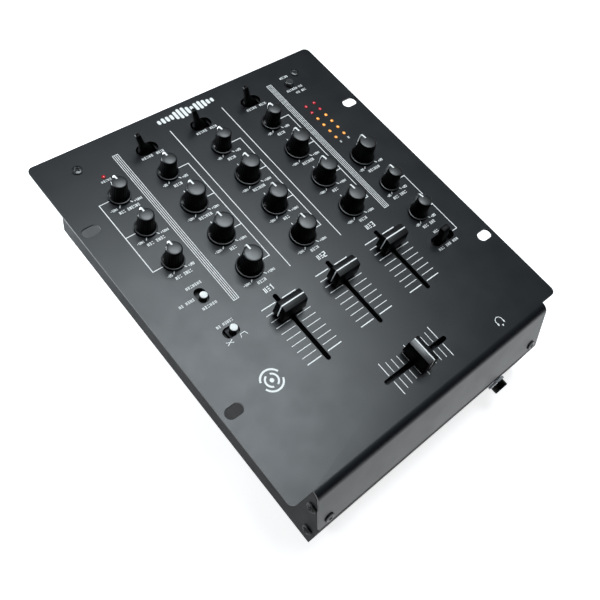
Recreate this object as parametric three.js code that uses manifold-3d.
// Three-channel DJ mixing console, in millimetres, +Z up, +X to the user's right, +Y to the back.
// Pieces are laid out in the panel's frame, whose origin is the middle of the panel's top face;
// one outer group lifts that frame so that the feet rest on Z = 0.
import * as THREE from 'three';
import { mergeVertices } from 'three/addons/utils/BufferGeometryUtils.js';
import Module from 'manifold-3d';

const wasm = await Module();
wasm.setup();
const { Manifold, Mesh: SolidMesh } = wasm;

// ---------------------------------------------------------------- driving dimensions
const GAP = 0.3; // air between pieces that touch on the real console
const PANEL = { width: 254, back: 142, front: -141.7, sheet: 1.5, corner: 4.5 };
const LIP = { width: 222, corner: -146.58, slope: 0.34, bendRadius: 7.1, bottom: -38 };
const CHASSIS = { halfWidth: 111, front: -159.8, back: 131.5, bottom: -70, sheet: 1.2 };
const REAR = { inside: 129.6, outside: 130.8 };
const FOOT = { radius: 9, height: 8, x: 92, front: -138, back: 108 };
const HEADPHONE = { x: 71, z: -53, tip: -167.5 };
const RACK_SLOT = { length: 13, width: 8, x: 118, y: 76.7 };

const COLUMN = { mic: -87.1, ch1: -47.4, ch2: 0, ch3: 47.5, master: 87.6 };
const CHANNELS = ['ch1', 'ch2', 'ch3'];
const ROW = { gain: 91, treble: 60, mid: 28.9, bass: -2.2, cueMix: -33.8 };
const SMALL_KNOB = { skirt: 7.9, shoulder: 6.1, top: 5.2, height: 16 };
const LARGE_KNOB = { skirt: 9.8, shoulder: 7.7, top: 6.5, height: 17.4 };
const SHAFT = { radius: 3, hole: 3.8, depth: 7 };

const FADER = { y: -56.4, travel: 45, rest: -43, slotLength: 57.5, slotWidth: 3.5 };
const CROSSFADER = { y: -118.6, slotLength: 58.5 };
const CAP = { length: 20.6, topLength: 18.8, width: 9.8, topWidth: 9, foot: 3, edge: 14.6, ridge: 16 };
const STEM = { length: 7, width: 2.2, depth: 9 };

const TOGGLE = { y: 116.7, slotLength: 18, slotWidth: 11, pivot: -7, tilt: -18, reach: 27.3, ball: 4.9 };
const CUE_LEVER = { y: -60.3, slotLength: 22.7, slotWidth: 9, pivot: -5, tilt: -16.5, reach: 23.3 };
const MODE_SWITCH = { x: -87.1, y: -2.2, length: 11.7, width: 8, offset: -1.9 };
const SLOPE_SWITCH = { x: -87.1, y: -33.5, length: 12.2, width: 7.8, offset: 1.7 };
const SLIDE_BUTTON = { radius: 2.7, depth: 5, rise: 4 };
const METER_BUTTON = { x: 86.6, y: 116.3, radius: 3.6, rise: 3.4 };
const METER = { x: 86.8, halfPitch: 4.25, top: 90.3, pitch: 7.24, rows: 6, lamp: 1.5 };
const POWER_LIGHT = { x: -87.1, y: 110.4, radius: 1.5 };

const BOARD = { top: -14.4, thickness: 1.6 };
const MAIN_BOARD = { top: -58.4, thickness: 1.6, front: -60, back: 126, halfWidth: 104 };
const RCA = { pitch: 14, rowGap: 16, top: -34, barrel: 4.15, reach: 140.7, blockTop: -26 };
const SOCKET_ROW = -42;
const MIC_X = -90;
const GROUND_X = 17;
const INPUTS_X = -31;
const OUTPUTS_X = 42;
const INLET_X = 68;
const ROCKER = { x: 91, width: 13, height: 19.5 };

// ---------------------------------------------------------------- materials
const paint = (color, roughness, metalness = 0) =>
  new THREE.MeshStandardMaterial({ color, roughness, metalness });
const SHEET_PAINT = paint(0x3a3d41, 0.45, 0.3);
const CHASSIS_PAINT = paint(0x26272a, 0.5, 0.3);
const BLACK_PLASTIC = paint(0x0c0c0d, 0.4);
const WHITE_PLASTIC = paint(0xe8e8e6, 0.35);
const RUBBER = paint(0x141414, 0.9);
const STEEL = paint(0xb9bcc0, 0.3, 0.9);
const BLACK_STEEL = paint(0x17181a, 0.35, 0.7);
const CIRCUIT = paint(0x1f4a2c, 0.6);
const RED_LENS = paint(0xd01828, 0.3);
const AMBER_LENS = paint(0xf0a830, 0.3);

// ---------------------------------------------------------------- solids
const place = (geometry, x = 0, y = 0, z = 0) => geometry.translate(x, y, z);

function toSolid(geometry) {
  const bare = geometry.index ? geometry.toNonIndexed() : geometry.clone();
  bare.deleteAttribute('normal');
  bare.deleteAttribute('uv');
  const merged = mergeVertices(bare, 1e-4);
  const vertProperties = new Float32Array(merged.attributes.position.array);
  const triVerts = new Uint32Array(merged.index.array);
  return new Manifold(new SolidMesh({ numProp: 3, vertProperties, triVerts }));
}

function toGeometry(solid) {
  const { vertProperties, triVerts } = solid.getMesh();
  const geometry = new THREE.BufferGeometry();
  geometry.setAttribute('position', new THREE.BufferAttribute(vertProperties, 3));
  geometry.setIndex(new THREE.BufferAttribute(triVerts, 1));
  geometry.computeVertexNormals();
  return geometry;
}

const addAll = (solids) => solids.reduce((whole, next) => whole.add(next));

function build(added, removed = []) {
  let whole = addAll(added.map(toSolid));
  for (const tool of removed) {
    whole = whole.subtract(toSolid(tool));
  }
  return toGeometry(whole);
}

const block = (width, depth, height, x, y, z) =>
  place(new THREE.BoxGeometry(width, depth, height), x, y, z);

const span = (x0, x1, y0, y1, z0, z1) =>
  block(x1 - x0, y1 - y0, z1 - z0, (x0 + x1) / 2, (y0 + y1) / 2, (z0 + z1) / 2);

function postZ(radius, z0, z1, x = 0, y = 0, sides = 16) {
  const post = new THREE.CylinderGeometry(radius, radius, z1 - z0, sides).rotateX(Math.PI / 2);
  return place(post, x, y, (z0 + z1) / 2);
}

const postY = (radius, y0, y1, x, z, sides = 16) =>
  place(new THREE.CylinderGeometry(radius, radius, y1 - y0, sides), x, (y0 + y1) / 2, z);

function postX(radius, x0, x1, y, z, sides = 12) {
  const post = new THREE.CylinderGeometry(radius, radius, x1 - x0, sides).rotateZ(Math.PI / 2);
  return place(post, (x0 + x1) / 2, y, z);
}

// A profile of [radius, height] pairs turned about +Z.
function turned(profile, sides) {
  const points = profile.map(([radius, height]) => new THREE.Vector2(radius, height));
  return new THREE.LatheGeometry(points, sides).rotateX(Math.PI / 2);
}

// A closed outline of [y, z] pairs, extruded along X.
function alongX(outline, x0, x1) {
  const shape = new THREE.Shape(outline.map(([y, z]) => new THREE.Vector2(y, z)));
  const geometry = new THREE.ExtrudeGeometry(shape, { depth: x1 - x0, bevelEnabled: false });
  const turn = new THREE.Matrix4().makeBasis(
    new THREE.Vector3(0, 1, 0),
    new THREE.Vector3(0, 0, 1),
    new THREE.Vector3(1, 0, 0),
  );
  return place(geometry.applyMatrix4(turn), x0);
}

function slab(shape, z0, z1, curveSegments = 3) {
  const options = { depth: z1 - z0, bevelEnabled: false, curveSegments };
  return place(new THREE.ExtrudeGeometry(shape, options), 0, 0, z0);
}

function roundedRect(x0, x1, y0, y1, radius) {
  const shape = new THREE.Shape();
  shape.absarc(x1 - radius, y0 + radius, radius, -Math.PI / 2, 0);
  shape.absarc(x1 - radius, y1 - radius, radius, 0, Math.PI / 2);
  shape.absarc(x0 + radius, y1 - radius, radius, Math.PI / 2, Math.PI);
  shape.absarc(x0 + radius, y0 + radius, radius, Math.PI, Math.PI * 1.5);
  return shape;
}

// A slot with round ends: long along X when length > width, along Y otherwise.
function slotTool(x, y, sizeX, sizeY, z0 = -4, z1 = 2) {
  const radius = Math.min(sizeX, sizeY) / 2 - 0.001;
  const outline = roundedRect(x - sizeX / 2, x + sizeX / 2, y - sizeY / 2, y + sizeY / 2, radius);
  return slab(outline, z0, z1, 2);
}

// ---------------------------------------------------------------- layout
const SMALL_KNOBS = [
  ['mic_treble_knob', COLUMN.mic, ROW.gain],
  ['mic_bass_knob', COLUMN.mic, ROW.treble],
  ['mic_gain_knob', COLUMN.mic, ROW.mid],
  ...CHANNELS.map((name) => [`${name}_gain_knob`, COLUMN[name], ROW.gain]),
  ['cue_gain_knob', COLUMN.master, ROW.bass],
  ['cue_mix_knob', COLUMN.master, ROW.cueMix],
];
const BANDS = ['treble', 'mid', 'bass'];
const LARGE_KNOBS = [
  ...CHANNELS.flatMap((name) => BANDS.map((band) => [`${name}_${band}_knob`, COLUMN[name], ROW[band]])),
  ['master_knob', COLUMN.master, ROW.mid],
];
const ALL_KNOBS = [...SMALL_KNOBS, ...LARGE_KNOBS];

const meterColumn = (x) =>
  Array.from({ length: METER.rows }, (_, row) => [x, METER.top - row * METER.pitch]);
const METER_LAMPS = [-1, 1].flatMap((side) => meterColumn(METER.x + side * METER.halfPitch));

const PANEL_SCREWS = [['panel_screw_left', -98.9, 124.2], ['panel_screw_right', 98.9, 124.2]];
const LIP_SCREWS = [['lip_screw_left', -102.2], ['lip_screw_right', 102.2]];
const LIP_SCREW_Z = -32;
const SIDE_SCREWS = [['upper', -147.2, -19.2], ['lower', -153.8, -53.2]];
const SCREW = { head: 3.5, rise: 2.1, shank: 1.4, hole: 1.8, depth: 6 };

// ---------------------------------------------------------------- sheet metal
const lipY = (z, inset = 0) => LIP.corner + inset + LIP.slope * z;
const LIP_ANGLE = Math.atan(LIP.slope);
const SLANT_INSET = PANEL.sheet / Math.cos(LIP_ANGLE);

// The outline of the bent lip, outer face first and then back along the inner face.
function lipOutline() {
  const turn = Math.PI / 2 - LIP_ANGLE;
  const steps = 8;
  const centreY = LIP.corner + LIP.bendRadius * Math.tan(turn / 2);
  const arc = (radius) => Array.from({ length: steps + 1 }, (_, step) => {
    const angle = (turn * step) / steps;
    return [centreY - radius * Math.sin(angle), -LIP.bendRadius + radius * Math.cos(angle)];
  });
  return [
    [centreY + 4, 0],
    ...arc(LIP.bendRadius),
    [lipY(LIP.bottom), LIP.bottom],
    [lipY(LIP.bottom, SLANT_INSET), LIP.bottom],
    ...arc(LIP.bendRadius - PANEL.sheet).reverse(),
    [centreY + 4, -PANEL.sheet],
  ];
}

// A round tool or pin square to the slanted lip, from `inside` to `outside` of its outer face.
function postThroughLip(radius, inside, outside, x, z, sides = 12) {
  const pin = new THREE.CylinderGeometry(radius, radius, outside - inside, sides);
  pin.translate(0, -(inside + outside) / 2, 0).rotateX(-LIP_ANGLE);
  return place(pin, x, lipY(z), z);
}

function panelOpenings() {
  const { x: rackX, y: rackY, length, width } = RACK_SLOT;
  const corners = [[-rackX, rackY], [rackX, rackY], [-rackX, -rackY], [rackX, -rackY]];
  return [
    ...corners.map(([x, y]) => slotTool(x, y, length, width)),
    ...ALL_KNOBS.map(([, x, y]) => postZ(SHAFT.hole, -4, 2, x, y, 8)),
    ...METER_LAMPS.map(([x, y]) => postZ(METER.lamp + 0.4, -4, 2, x, y, 6)),
    ...PANEL_SCREWS.map(([, x, y]) => postZ(SCREW.hole, -4, 2, x, y, 8)),
    ...CHANNELS.map((name) => slotTool(COLUMN[name], FADER.y, FADER.slotWidth, FADER.slotLength)),
    slotTool(0, CROSSFADER.y, CROSSFADER.slotLength, FADER.slotWidth),
    ...CHANNELS.map((name) => slotTool(COLUMN[name], TOGGLE.y, TOGGLE.slotLength, TOGGLE.slotWidth)),
    slotTool(COLUMN.master, CUE_LEVER.y, CUE_LEVER.slotLength, CUE_LEVER.slotWidth),
    slotTool(MODE_SWITCH.x, MODE_SWITCH.y, MODE_SWITCH.width, MODE_SWITCH.length),
    slotTool(SLOPE_SWITCH.x, SLOPE_SWITCH.y, SLOPE_SWITCH.length, SLOPE_SWITCH.width),
    postZ(METER_BUTTON.radius + 0.4, -4, 2, METER_BUTTON.x, METER_BUTTON.y),
    postZ(POWER_LIGHT.radius + 0.3, -4, 2, POWER_LIGHT.x, POWER_LIGHT.y, 10),
  ];
}

function topPanel() {
  const half = PANEL.width / 2;
  const outline = roundedRect(-half, half, PANEL.front, PANEL.back, PANEL.corner);
  const sheet = slab(outline, -PANEL.sheet, 0);
  const lip = alongX(lipOutline(), -LIP.width / 2, LIP.width / 2);
  const lipHoles = LIP_SCREWS.map(([, x]) => postThroughLip(SCREW.hole, -3, 1, x, LIP_SCREW_Z, 8));
  return build([sheet, lip], [...panelOpenings(), ...lipHoles]);
}

// The side wall follows the bend and the slant of the lip, a little behind them.
function sideWall(x0, x1) {
  const { front, back, bottom } = CHASSIS;
  const top = -PANEL.sheet - GAP;
  const inset = SLANT_INSET + GAP;
  return alongX([
    [back, top],
    [back, bottom],
    [front, bottom],
    [front, LIP.bottom - GAP],
    [lipY(LIP.bottom, inset), LIP.bottom - GAP],
    [-146.6, -5.8],
    [-144.9, -3.2],
    [-141.5, top],
  ], x0, x1);
}

// The front wall stands under the lip; its top steps back and climbs behind the lip as a flange.
function frontWall(x0, x1) {
  const { front, bottom, sheet } = CHASSIS;
  const inset = SLANT_INSET + GAP;
  const flangeTop = -22;
  const foot = LIP.bottom - GAP;
  return alongX([
    [front, bottom],
    [front + sheet, bottom],
    [front + sheet, foot - 2.4],
    [lipY(flangeTop, inset + sheet), flangeTop],
    [lipY(flangeTop, inset), flangeTop],
    [lipY(foot, inset), foot],
    [front, foot],
  ], x0, x1);
}

function chassis() {
  const { halfWidth, front, back, bottom, sheet } = CHASSIS;
  const floor = span(-halfWidth, halfWidth, front, back, bottom, bottom + sheet);
  const walls = [
    sideWall(-halfWidth, -halfWidth + sheet),
    sideWall(halfWidth - sheet, halfWidth),
    frontWall(-halfWidth, halfWidth),
  ];
  const sideHoles = SIDE_SCREWS.flatMap(([, y, z]) => [
    postX(SCREW.hole, -halfWidth - 1, -halfWidth + 3, y, z, 8),
    postX(SCREW.hole, halfWidth - 3, halfWidth + 1, y, z, 8),
  ]);
  const lipHoles = LIP_SCREWS.map(([, x]) => postThroughLip(SCREW.hole, -6, 1, x, LIP_SCREW_Z, 8));
  const jackHole = postY(6.1, front - 1, front + 3, HEADPHONE.x, HEADPHONE.z);
  return build([floor, ...walls], [...sideHoles, ...lipHoles, jackHole]);
}

const rcaColumns = (centre, count) =>
  Array.from({ length: count }, (_, column) => centre + (column - (count - 1) / 2) * RCA.pitch);
const RCA_ROWS = [RCA.top, RCA.top - RCA.rowGap];

function rearPanel() {
  const edge = CHASSIS.halfWidth - CHASSIS.sheet - GAP;
  const floor = CHASSIS.bottom + CHASSIS.sheet + GAP;
  const top = -PANEL.sheet - GAP;
  const plate = span(-edge, edge, REAR.inside, REAR.outside, floor, top);
  const tabs = PANEL_SCREWS.map(([, x, y]) =>
    span(x - 5.5, x + 5.5, y - 7, REAR.outside, top - CHASSIS.sheet, top));
  const through = [REAR.inside - 1, REAR.outside + 1];
  const sockets = [...rcaColumns(INPUTS_X, 6), ...rcaColumns(OUTPUTS_X, 2)].flatMap((x) =>
    RCA_ROWS.map((z) => postY(RCA.barrel + 0.5, ...through, x, z, 8)));
  const holes = [
    ...PANEL_SCREWS.map(([, x, y]) => postZ(SCREW.hole, -6, 0, x, y, 8)),
    ...sockets,
    postY(6.1, ...through, MIC_X, SOCKET_ROW),
    postY(2.3, ...through, GROUND_X, SOCKET_ROW, 10),
    postY(4.9, ...through, INLET_X, SOCKET_ROW),
    block(ROCKER.width, 4, ROCKER.height, ROCKER.x, REAR.inside, SOCKET_ROW),
  ];
  return build([plate, ...tabs], holes);
}

// ---------------------------------------------------------------- fasteners and feet
// A pan-head screw whose shank points down -Z and whose head stands on Z = 0.
function panScrew() {
  const { head, rise, shank, depth } = SCREW;
  return turned([
    [0, -depth], [shank, -depth], [shank, 0], [head, 0], [head, rise * 0.55], [head * 0.62, rise], [0, rise],
  ], 12);
}

const foot = () => turned([
  [0, -FOOT.height], [FOOT.radius - 1, -FOOT.height], [FOOT.radius, -1], [FOOT.radius, -GAP], [0, -GAP],
], 14);

// ---------------------------------------------------------------- controls
// A knob with a flat skirt, a tapered grip and its own shaft down through the panel.
function knob({ skirt, shoulder, top, height }) {
  return turned([
    [0, -SHAFT.depth],
    [SHAFT.radius, -SHAFT.depth],
    [SHAFT.radius, 0.8],
    [skirt, 0.8],
    [skirt, 2],
    [shoulder, 4.6],
    [top, height - 0.6],
    [top - 0.6, height],
    [0, height],
  ], 12);
}

// A fader cap, long along X, with sloping ends and a low roof whose ridge carries the pointer line.
function faderCap() {
  const { length, topLength, width, topWidth, foot: base, edge, ridge } = CAP;
  const outline = [
    [-width / 2, base], [width / 2, base], [topWidth / 2, edge], [0, ridge], [-topWidth / 2, edge],
  ];
  const body = alongX(outline, -length / 2, length / 2);
  const run = (length - topLength) / 2;
  const lean = Math.atan(run / (ridge - base));
  const endTool = (side) => block(10, 20, 40, side * (5 + length / 2), 0, 0)
    .translate(-side * length / 2, 0, 0).rotateY(-side * lean).translate(side * length / 2, 0, base);
  const stem = block(STEM.width, STEM.length, STEM.depth + base + 1, 0, 0, (base + 1 - STEM.depth) / 2);
  return build([body, stem], [endTool(1), endTool(-1)]);
}

// The crossfader's cap is the same cap turned a quarter about Z, with its stem turned back.
function crossfaderCap() {
  return faderCap().rotateZ(Math.PI / 2);
}

// A round-footed lever that leans in its slot: the ball turns about the pivot at the origin.
function toggleLever() {
  const stalk = turned([
    [0, 0],
    [4.6, 0],
    [5.3, 4],
    [5.3, 7.6],
    [4.4, 9.6],
    [3, 11.2],
    [2.6, 18],
    [2.3, TOGGLE.reach - 0.8],
    [1.6, TOGGLE.reach],
    [0, TOGGLE.reach],
  ], 12).scale(1, 0.8, 1);
  const ball = new THREE.SphereGeometry(TOGGLE.ball, 12, 7).scale(1, 0.8, 1);
  return build([stalk, ball]);
}

function cueLever() {
  const { reach } = CUE_LEVER;
  const grip = alongX([[-2.7, 0], [2.7, 0], [2.4, reach], [-2.4, reach]], -3.4, 3.4);
  const drum = new THREE.CylinderGeometry(4.2, 4.2, 5.8, 16);
  return build([grip, drum]);
}

// A slide switch's round button on the plate that slides under the panel.
function slideButton(plateX, plateY) {
  const { radius, depth, rise } = SLIDE_BUTTON;
  const button = turned(
    [[0, -depth], [radius, -depth], [radius, rise - 0.6], [radius - 0.5, rise], [0, rise]], 16);
  return build([button, block(plateX, plateY, 1.4, 0, 0, -3.4)]);
}

const meterButton = () => turned([
  [0, -10], [2, -10], [2, -3.6], [METER_BUTTON.radius, -3.6], [METER_BUTTON.radius, METER_BUTTON.rise - 0.5],
  [METER_BUTTON.radius - 0.6, METER_BUTTON.rise], [0, METER_BUTTON.rise],
], 18);

// A rocker that turns about the X axis through the origin, its paddle facing +Y.
const rocker = () => alongX([
  [-3.5, -3], [-3.5, 3], [0.4, 7.4], [3.4, 7.8], [1.8, 0], [3.4, -7.8], [0.4, -7.4],
], -4.6, 4.6);

// ---------------------------------------------------------------- lights
function meterLamps() {
  const backing = -9;
  const board = span(METER.x - 10, METER.x + 10, 48, 96, backing, backing + 1.6);
  const lamps = METER_LAMPS.map(([x, y]) => postZ(METER.lamp, backing + 1, 0.7, x, y, 6));
  return build([board, ...lamps]);
}

const powerLight = () => turned([
  [0, -13.9], [POWER_LIGHT.radius, -13.9], [POWER_LIGHT.radius, 0.3], [POWER_LIGHT.radius * 0.6, 1], [0, 1],
], 12);

// ---------------------------------------------------------------- insides
// The board hangs under the panel and spreads down both sides of the faders.
function controlBoard() {
  const shape = new THREE.Shape([
    [-106, 127], [-106, -46], [-70, -46], [-70, -18], [70, -18], [70, -74], [106, -74], [106, 127],
  ].map(([x, y]) => new THREE.Vector2(x, y)));
  const board = slab(shape, BOARD.top - BOARD.thickness, BOARD.top);
  const body = (x, y, sizeX, sizeY, top) => span(
    x - sizeX / 2, x + sizeX / 2, y - sizeY / 2, y + sizeY / 2, BOARD.top - 0.5, top);
  const pots = ALL_KNOBS.map(([, x, y]) => body(x, y, 11, 10, -SHAFT.depth - GAP));
  const switches = [
    ...CHANNELS.map((name) => body(COLUMN[name], TOGGLE.y, 20, 12, TOGGLE.pivot - TOGGLE.ball - GAP)),
    body(COLUMN.master, CUE_LEVER.y, 24, 10, -9.8),
    body(MODE_SWITCH.x, MODE_SWITCH.y, 9, 14, -5.6),
    body(SLOPE_SWITCH.x, SLOPE_SWITCH.y, 14, 9, -5.6),
    body(METER_BUTTON.x, METER_BUTTON.y, 7, 7, -12.6),
  ];
  return build([board, ...pots, ...switches]);
}

// The metal slide unit under a fader's slot, long along Y, open at the top for the stem.
function faderUnit() {
  const top = -PANEL.sheet - GAP;
  const shell = span(-6, 6, -34, 34, top - 11, top);
  const channel = span(-2.1, 2.1, -30, 30, top - 9.4, top + 1);
  return build([shell], [channel]);
}

function mainBoard() {
  const { top, thickness, front, back, halfWidth } = MAIN_BOARD;
  const under = top - thickness;
  const board = span(-halfWidth, halfWidth, front, back, under, top);
  const floor = CHASSIS.bottom + CHASSIS.sheet + GAP;
  const posts = [-1, 1].flatMap((side) => [front + 8, back - 40].map((y) =>
    postZ(3, floor, under + 0.5, side * (halfWidth - 8), y, 8)));
  const capacitors = [[62, 70, 8, 26], [84, 70, 8, 26], [62, 48, 6, 18], [84, 48, 6, 18]].map(
    ([x, y, radius, height]) => postZ(radius, top - 0.5, top + height, x, y, 12));
  const heatsink = [0, 1, 2, 3].map((fin) => span(50, 96, 16 + fin * 5, 18 + fin * 5, top - 0.5, top + 20));
  const chips = [-70, -40, -10, 20].flatMap((x) => [60, 20, -20].map((y) =>
    span(x - 5, x + 5, y - 3, y + 3, top - 0.5, top + 3)));
  return build([board, ...posts, ...capacitors, ...heatsink, ...chips]);
}

// ---------------------------------------------------------------- sockets
// Phono sockets in pairs, one above the other, on one moulded block.
function rcaBlock(centre, count) {
  const width = count * RCA.pitch - 1;
  const back = REAR.inside - GAP;
  const [left, right] = [centre - width / 2, centre + width / 2];
  const body = span(left, right, back - 12, back, MAIN_BOARD.top + GAP, RCA.blockTop);
  const places = rcaColumns(centre, count).flatMap((x) => RCA_ROWS.map((z) => [x, z]));
  const barrels = places.map(([x, z]) => postY(RCA.barrel, back - 1, RCA.reach, x, z, 10));
  const bores = places.map(([x, z]) => postY(1.7, RCA.reach - 8, RCA.reach + 1, x, z, 6));
  return build([body, ...barrels], bores);
}

// A 6.35 mm jack that faces -Y: its box stands behind the wall at Y = 0, its nut in front of it.
function phoneJack(wall, reach) {
  const box = span(-8, 8, wall + GAP, wall + 24, -8, 8);
  const bush = postY(5.8, -reach, wall + 1, 0, 0, 20);
  const nut = postY(8.4, -2.6, -GAP, 0, 0, 6);
  const bore = postY(3.3, -reach - 1, wall + 20, 0, 0, 16);
  return build([box, bush, nut], [bore]);
}

const groundPost = () => build(
  [postY(2, -8, 4, 0, 0, 10), postY(4.6, 1.6, 6.6, 0, 0, 12)],
);

function powerInlet() {
  const box = span(-5.5, 5.5, -12, -GAP - 1.2, -5.5, 5.5);
  const collar = postY(4.5, -2, 1, 0, 0, 16);
  const bore = postY(2.8, -9, 2, 0, 0, 12);
  const pin = postY(1, -10, 0.4, 0, 0, 8);
  return toGeometry(toSolid(build([box, collar], [bore])).add(toSolid(pin)));
}

function rockerHousing() {
  const { width, height } = ROCKER;
  const bezel = span(-width / 2 - 1.5, width / 2 + 1.5, GAP, 1.8, -height / 2 - 1.5, height / 2 + 1.5);
  const box = span(-width / 2 + 0.3, width / 2 - 0.3, -16, 1, -height / 2 + 0.3, height / 2 - 0.3);
  const well = span(-5, 5, -10, 3, -8.4, 8.4);
  return build([bezel, box], [well]);
}

// ---------------------------------------------------------------- assembly
const console_ = new THREE.Group();
const CENTRE_SHIFT = -(PANEL.back + HEADPHONE.tip) / 2;
console_.position.set(0, CENTRE_SHIFT, FOOT.height - CHASSIS.bottom);

function add(name, geometry, material, [x, y, z] = [0, 0, 0], [rx, ry, rz] = [0, 0, 0]) {
  const mesh = new THREE.Mesh(geometry, material);
  mesh.name = name;
  mesh.position.set(x, y, z);
  mesh.rotation.set(...[rx, ry, rz].map(THREE.MathUtils.degToRad));
  console_.add(mesh);
}

function addHousing() {
  add('top_panel', topPanel(), SHEET_PAINT);
  add('chassis', chassis(), CHASSIS_PAINT);
  add('rear_panel', rearPanel(), CHASSIS_PAINT);
  for (const [side, x] of [['left', -FOOT.x], ['right', FOOT.x]]) {
    add(`foot_front_${side}`, foot(), RUBBER, [x, FOOT.front, CHASSIS.bottom]);
    add(`foot_back_${side}`, foot(), RUBBER, [x, FOOT.back, CHASSIS.bottom]);
  }
}

function addScrews() {
  for (const [name, x, y] of PANEL_SCREWS) {
    add(name, panScrew(), BLACK_STEEL, [x, y, GAP]);
  }
  const lipTilt = 90 - THREE.MathUtils.radToDeg(LIP_ANGLE);
  const out = GAP * Math.cos(LIP_ANGLE);
  const up = GAP * Math.sin(LIP_ANGLE);
  for (const [name, x] of LIP_SCREWS) {
    add(name, panScrew(), BLACK_STEEL, [x, lipY(LIP_SCREW_Z) - out, LIP_SCREW_Z + up], [lipTilt, 0, 0]);
  }
  const wall = CHASSIS.halfWidth + GAP;
  for (const [level, y, z] of SIDE_SCREWS) {
    add(`side_screw_left_${level}`, panScrew(), BLACK_STEEL, [-wall, y, z], [0, -90, 0]);
    add(`side_screw_right_${level}`, panScrew(), BLACK_STEEL, [wall, y, z], [0, 90, 0]);
  }
}

function addControls() {
  for (const [name, x, y] of SMALL_KNOBS) {
    add(name, knob(SMALL_KNOB), BLACK_PLASTIC, [x, y, 0]);
  }
  for (const [name, x, y] of LARGE_KNOBS) {
    add(name, knob(LARGE_KNOB), BLACK_PLASTIC, [x, y, 0]);
  }
  for (const name of CHANNELS) {
    add(`${name}_input_toggle`, toggleLever(), BLACK_PLASTIC,
      [COLUMN[name], TOGGLE.y, TOGGLE.pivot], [0, TOGGLE.tilt, 0]);
    add(`${name}_fader_cap`, faderCap(), BLACK_PLASTIC, [COLUMN[name], FADER.rest, 0]);
  }
  add('crossfader_cap', crossfaderCap(), BLACK_PLASTIC, [0, CROSSFADER.y, 0]);
  add('cue_lever', cueLever(), BLACK_PLASTIC,
    [COLUMN.master, CUE_LEVER.y, CUE_LEVER.pivot], [0, CUE_LEVER.tilt, 0]);
  add('crossfader_mode_button', slideButton(9.6, 8), WHITE_PLASTIC,
    [MODE_SWITCH.x, MODE_SWITCH.y + MODE_SWITCH.offset, 0]);
  add('crossfader_slope_button', slideButton(8, 9.4), WHITE_PLASTIC,
    [SLOPE_SWITCH.x + SLOPE_SWITCH.offset, SLOPE_SWITCH.y, 0]);
  add('meter_button', meterButton(), BLACK_PLASTIC, [METER_BUTTON.x, METER_BUTTON.y, 0]);
}

function addLights() {
  add('meter_lamps', meterLamps(), AMBER_LENS);
  add('power_light', powerLight(), RED_LENS, [POWER_LIGHT.x, POWER_LIGHT.y, 0]);
}

function addInsides() {
  add('control_board', controlBoard(), CIRCUIT);
  add('main_board', mainBoard(), CIRCUIT);
  for (const name of CHANNELS) {
    add(`${name}_fader_unit`, faderUnit(), STEEL, [COLUMN[name], FADER.y, 0]);
  }
  add('crossfader_unit', faderUnit(), STEEL, [0, CROSSFADER.y, 0], [0, 0, 90]);
}

function addSockets() {
  add('input_sockets', rcaBlock(INPUTS_X, 6), BLACK_PLASTIC);
  add('output_sockets', rcaBlock(OUTPUTS_X, 2), BLACK_PLASTIC);
  const frontReach = CHASSIS.front - HEADPHONE.tip;
  const wall = CHASSIS.sheet;
  const frontJack = [HEADPHONE.x, CHASSIS.front, HEADPHONE.z];
  add('headphone_jack', phoneJack(wall, frontReach), BLACK_PLASTIC, frontJack);
  add('mic_jack', phoneJack(wall, 6), BLACK_PLASTIC, [MIC_X, REAR.outside, SOCKET_ROW], [0, 0, 180]);
  add('ground_post', groundPost(), STEEL, [GROUND_X, REAR.outside, SOCKET_ROW]);
  add('power_inlet', powerInlet(), BLACK_PLASTIC, [INLET_X, REAR.outside, SOCKET_ROW]);
  add('power_switch_housing', rockerHousing(), BLACK_PLASTIC, [ROCKER.x, REAR.outside, SOCKET_ROW]);
  add('power_rocker', rocker(), BLACK_PLASTIC, [ROCKER.x, REAR.outside, SOCKET_ROW], [12, 0, 0]);
}

addHousing();
addScrews();
addControls();
addLights();
addInsides();
addSockets();

export default console_;
